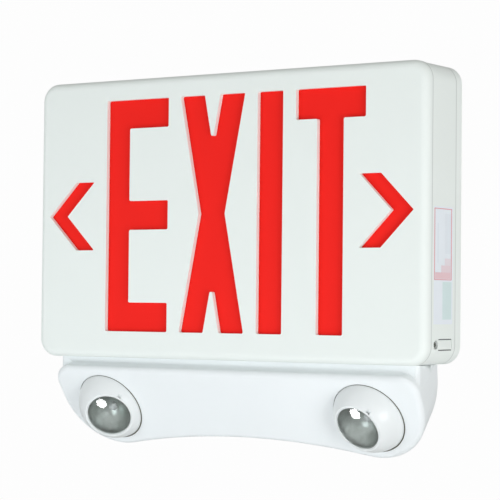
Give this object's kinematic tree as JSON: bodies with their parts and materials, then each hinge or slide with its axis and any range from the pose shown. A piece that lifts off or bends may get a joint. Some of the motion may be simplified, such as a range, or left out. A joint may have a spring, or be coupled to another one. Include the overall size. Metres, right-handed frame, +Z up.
{
  "type": "emergency exit light",
  "caption": "Wall-mounted exit sign box with a red stencil legend and chevrons over a lamp bar that holds two aimable ball lamps.",
  "frame": {"origin": "centre of the sign housing's back face, on the wall plane", "axes": "+X to the right as seen from the front, +Y back into the wall, +Z up; the face looks towards -Y"},
  "size_m": [0.298, 0.0457, 0.242],
  "materials": {
    "face_white": "satin moulded, fine grain",
    "frame_white": "satin moulded",
    "bar_white": "satin moulded",
    "ball_white": "smooth moulded",
    "ring_white": "plain moulded",
    "button_white": "smooth moulded",
    "chamber_white": "bright diffuse",
    "red_lens": "translucent red, even",
    "clear_lens": "clear moulded",
    "reflector_chrome": "metallised",
    "screw_steel": "zinc plated",
    "strap_steel": "plated sheet",
    "strip_board": "white solder mask",
    "led_chip": "phosphor face",
    "green_board": "green solder mask",
    "transformer_black": "moulded core",
    "capacitor_black": "sleeved can",
    "battery_wrap": "shrink sleeve",
    "switch_black": "moulded",
    "bushing_black": "soft",
    "pilot_clear": "clear epoxy",
    "label_paper": "smooth film label"
  },
  "bodies": {
    "root": {"face_plate": "face_white", "sign_frame": "frame_white", "back_plate": "frame_white", "red_lens": "red_lens", "light_chamber": "chamber_white", "chamber_screws": "screw_steel", "upper_led_strip": "strip_board", "upper_led_chips": "led_chip", "lower_led_strip": "strip_board", "lower_led_chips": "led_chip", "control_board": "green_board", "control_board_screws": "screw_steel", "transformer": "transformer_black", "capacitors": "capacitor_black", "battery_pack": "battery_wrap", "battery_strap": "strap_steel", "battery_strap_screws": "screw_steel", "test_board": "green_board", "test_switch": "switch_black", "pilot_led": "pilot_clear", "side_label": "label_paper", "bar_cover": "bar_white", "bar_back": "frame_white", "bar_screws": "screw_steel", "wire_bushing": "bushing_black", "left_ring_retainer": "strap_steel", "left_retainer_screws": "screw_steel", "right_ring_retainer": "strap_steel", "right_retainer_screws": "screw_steel"},
    "left_swivel": {"left_swivel_ring": "ring_white"},
    "left_lamp": {"left_lamp_shell": "ball_white", "left_lamp_lens": "clear_lens", "left_lamp_reflector": "reflector_chrome", "left_lamp_board": "strip_board", "left_lamp_cap": "ring_white"},
    "right_swivel": {"right_swivel_ring": "ring_white"},
    "right_lamp": {"right_lamp_shell": "ball_white", "right_lamp_lens": "clear_lens", "right_lamp_reflector": "reflector_chrome", "right_lamp_board": "strip_board", "right_lamp_cap": "ring_white"},
    "test_button": {"test_button": "button_white", "switch_plunger": "switch_black"}
  },
  "joints": [
    {"name": "left_swivel_turn", "type": "hinge", "parent": "root", "child": "left_swivel", "pos_m": [-0.1, -0.0208, -0.12145], "axis": [0, -0.8616, -0.5075], "range_deg": [-170, 170]},
    {"name": "left_lamp_tilt", "type": "hinge", "parent": "left_swivel", "child": "left_lamp", "pos_m": [-0.1, -0.0208, -0.12145], "axis": [0, -0.5075, 0.8616], "range_deg": [-39, 1]},
    {"name": "right_swivel_turn", "type": "hinge", "parent": "root", "child": "right_swivel", "pos_m": [0.1, -0.0208, -0.12145], "axis": [0, -0.8616, -0.5075], "range_deg": [-170, 170]},
    {"name": "right_lamp_tilt", "type": "hinge", "parent": "right_swivel", "child": "right_lamp", "pos_m": [0.1, -0.0208, -0.12145], "axis": [0, -0.5075, 0.8616], "range_deg": [-14.5, 25.5]},
    {"name": "test_button_press", "type": "slide", "parent": "root", "child": "test_button", "axis": [-1, 0, 0], "range_m": [0, 0.0012], "stiffness_N_per_m": 700, "springref_m": -0.0008}
  ]
}
